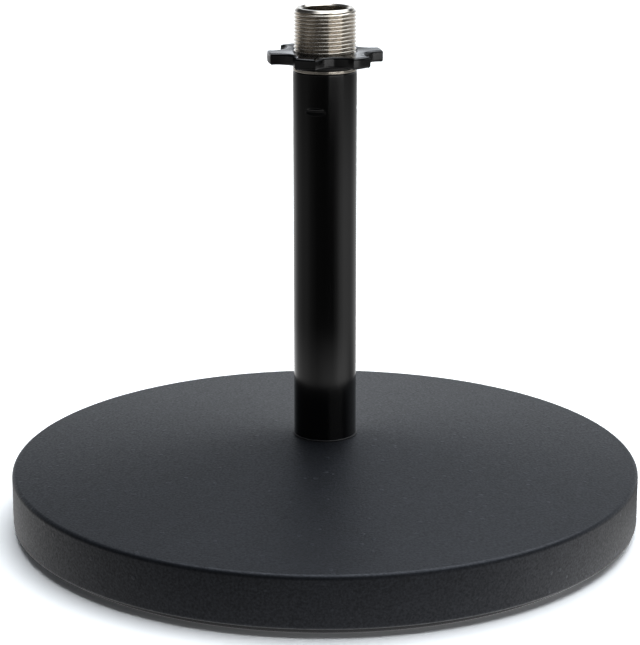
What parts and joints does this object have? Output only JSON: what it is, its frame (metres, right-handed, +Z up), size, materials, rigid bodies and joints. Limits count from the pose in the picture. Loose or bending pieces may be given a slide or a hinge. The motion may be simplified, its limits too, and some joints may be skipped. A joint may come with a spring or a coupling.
{
  "type": "desktop microphone stand",
  "caption": "Round weighted base with a short vertical tube, a 5/8\"-27 microphone thread and a lobed lock ring that turns on it.",
  "frame": {"origin": "centre of the base on the surface that it stands on", "axes": "+Z up along the tube and the microphone thread; the front faces -Y"},
  "size_m": [0.165, 0.165, 0.1364],
  "materials": {
    "base_paint": "fine textured powder coat",
    "rubber": "matte",
    "tube_enamel": "gloss enamel",
    "seat_plastic": "matte",
    "zinc_steel": "zinc plated",
    "nickel_plate": "nickel plated",
    "fibre": "matte fibre",
    "ring_enamel": "semi-gloss enamel"
  },
  "bodies": {
    "stand": {"base_casting": "base_paint", "base_rubber_ring": "rubber", "tube": "tube_enamel", "tube_seat_washer": "seat_plastic", "tube_foot_bush": "zinc_steel", "base_bolt": "zinc_steel", "bolt_lock_washer": "zinc_steel", "bolt_flat_washer": "zinc_steel", "threaded_insert": "nickel_plate"},
    "washer": {"ring_washer": "fibre"},
    "ring": {"lock_ring": "ring_enamel"}
  },
  "joints": [
    {"name": "lock_ring_turn", "type": "hinge", "parent": "stand", "child": "washer", "pos_m": [0, 0, 0.1214], "axis": [0, 0, 1], "range_deg": [0, 3960]},
    {"name": "lock_ring_rise", "type": "slide", "parent": "washer", "child": "ring", "axis": [0, 0, 1], "range_m": [0, 0.01035]}
  ],
  "couplings": [
    {"joint": "lock_ring_rise", "follows": "lock_ring_turn", "m_per_rad": 0.00014972}
  ]
}
